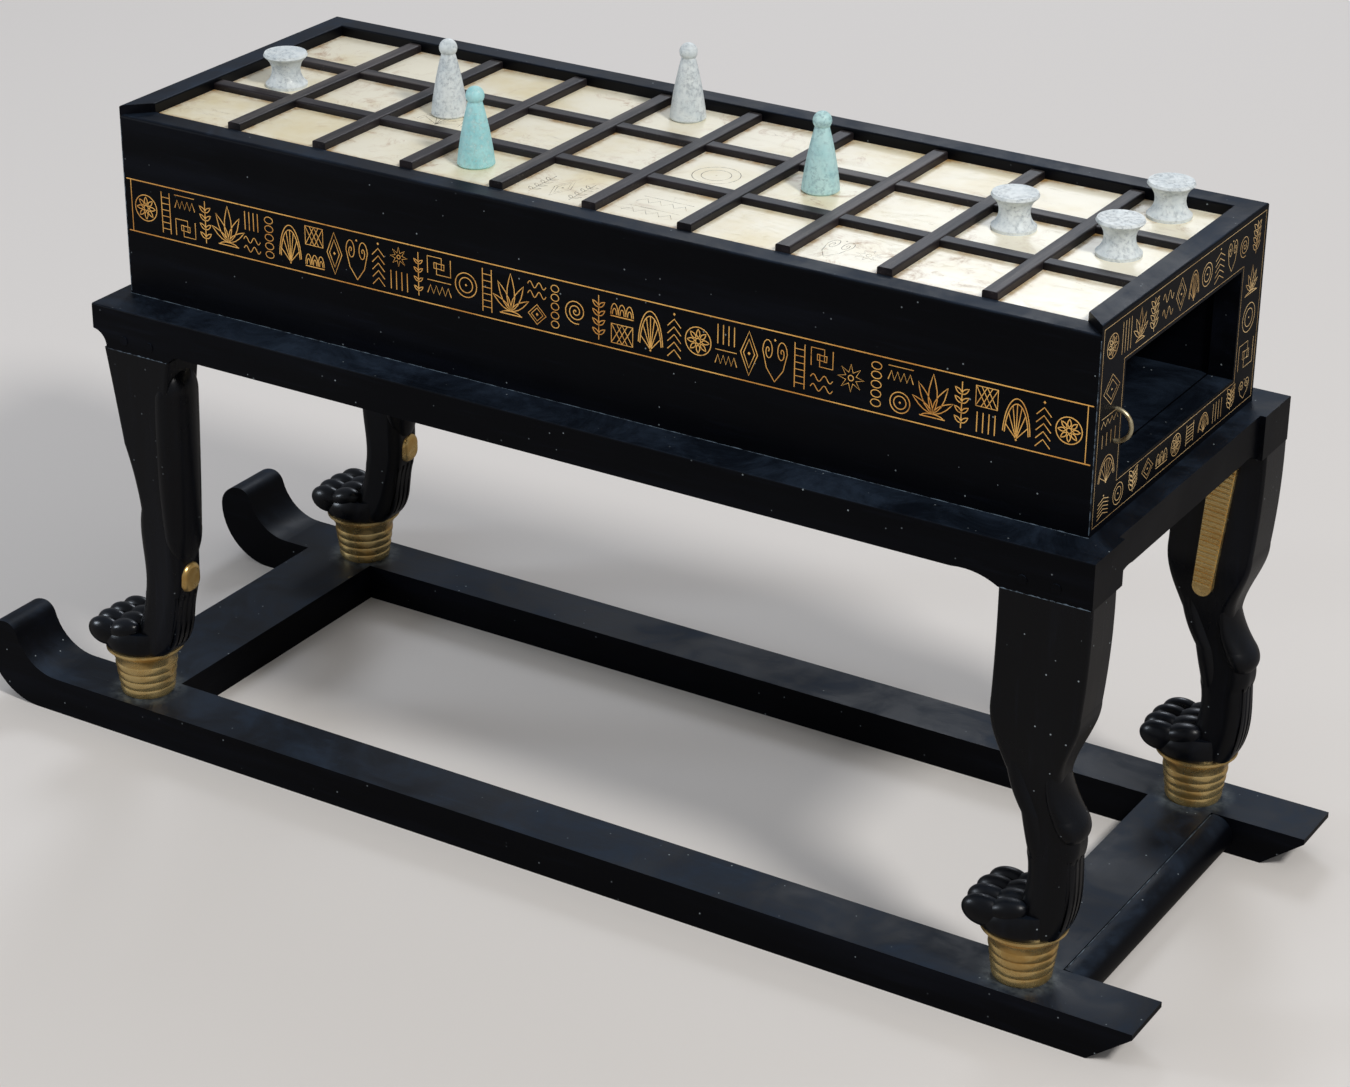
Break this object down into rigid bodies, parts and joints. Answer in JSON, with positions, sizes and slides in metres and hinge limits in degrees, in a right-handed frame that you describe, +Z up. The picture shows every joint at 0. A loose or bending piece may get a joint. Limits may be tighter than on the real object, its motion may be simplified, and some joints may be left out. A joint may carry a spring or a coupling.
{
  "type": "board game box on a stand",
  "caption": "Long game box with a grid of ivory squares, an open drawer bay in one end and loose playing pieces, standing on a separate lion-legged stand with a sled base.",
  "frame": {"origin": "centre of the bottom of the bounding box, on the surface that the sled stands on", "axes": "+X along the box towards the end with the drawer opening, +Y across it, +Z up"},
  "size_m": [0.583, 0.2026, 0.3229],
  "materials": {
    "black_wood": "satin",
    "strip_wood": "matte",
    "ivory": "satin",
    "gilding": "gloss",
    "staple_metal": "satin",
    "white_faience": "satin",
    "turquoise_faience": "satin"
  },
  "bodies": {
    "stand": {"rail_front": "black_wood", "rail_back": "black_wood", "rail_left": "black_wood", "rail_right": "black_wood", "foreleg_front": "black_wood", "foreleg_back": "black_wood", "hind_leg_front": "black_wood", "hind_leg_back": "black_wood", "leg_pegs": "black_wood", "drum_front_left": "gilding", "drum_front_right": "gilding", "drum_back_left": "gilding", "drum_back_right": "gilding", "carpal_pad_front": "gilding", "carpal_pad_back": "gilding", "ribbed_strip_front": "gilding", "ribbed_strip_back": "gilding", "runner_front": "black_wood", "runner_back": "black_wood", "cross_bar_left": "black_wood", "cross_board_right": "black_wood", "cross_moulding_right": "black_wood"},
    "game_box": {"front_panel": "black_wood", "back_panel": "black_wood", "left_end_panel": "black_wood", "right_end_panel": "black_wood", "rim_left": "black_wood", "rim_back": "black_wood", "rim_right": "black_wood", "top_board": "black_wood", "bottom_board": "black_wood", "bay_floor": "black_wood", "bay_side_front": "black_wood", "bay_side_back": "black_wood", "bay_end_wall": "black_wood", "squares_front_row": "ivory", "squares_middle_row": "ivory", "squares_back_row": "ivory", "cross_strips": "strip_wood", "long_strips_front": "strip_wood", "long_strips_back": "strip_wood", "underside_squares": "ivory", "underside_long_strips": "strip_wood", "underside_cross_strips": "strip_wood", "underside_plain_panels": "black_wood", "staple": "staple_metal"},
    "cone_white_left": {"cone_white_left": "white_faience"},
    "cone_turquoise": {"cone_turquoise": "turquoise_faience"},
    "cone_white_back": {"cone_white_back": "white_faience"},
    "cone_pale_turquoise": {"cone_pale_turquoise": "turquoise_faience"},
    "reel_left": {"reel_left": "white_faience"},
    "reel_middle": {"reel_middle": "white_faience"},
    "reel_right_middle": {"reel_right_middle": "white_faience"},
    "reel_right_back": {"reel_right_back": "white_faience"}
  },
  "joints": [
    {"name": "box_lift", "type": "slide", "parent": "stand", "child": "game_box", "axis": [0, 0, 1], "range_m": [0, 0.12]},
    {"name": "cone_white_left_lift", "type": "slide", "parent": "game_box", "child": "cone_white_left", "axis": [0, 0, 1], "range_m": [0, 0.06]},
    {"name": "cone_turquoise_lift", "type": "slide", "parent": "game_box", "child": "cone_turquoise", "axis": [0, 0, 1], "range_m": [0, 0.06]},
    {"name": "cone_white_back_lift", "type": "slide", "parent": "game_box", "child": "cone_white_back", "axis": [0, 0, 1], "range_m": [0, 0.06]},
    {"name": "cone_pale_turquoise_lift", "type": "slide", "parent": "game_box", "child": "cone_pale_turquoise", "axis": [0, 0, 1], "range_m": [0, 0.06]},
    {"name": "reel_left_lift", "type": "slide", "parent": "game_box", "child": "reel_left", "axis": [0, 0, 1], "range_m": [0, 0.06]},
    {"name": "reel_middle_lift", "type": "slide", "parent": "game_box", "child": "reel_middle", "axis": [0, 0, 1], "range_m": [0, 0.06]},
    {"name": "reel_right_middle_lift", "type": "slide", "parent": "game_box", "child": "reel_right_middle", "axis": [0, 0, 1], "range_m": [0, 0.06]},
    {"name": "reel_right_back_lift", "type": "slide", "parent": "game_box", "child": "reel_right_back", "axis": [0, 0, 1], "range_m": [0, 0.06]}
  ]
}
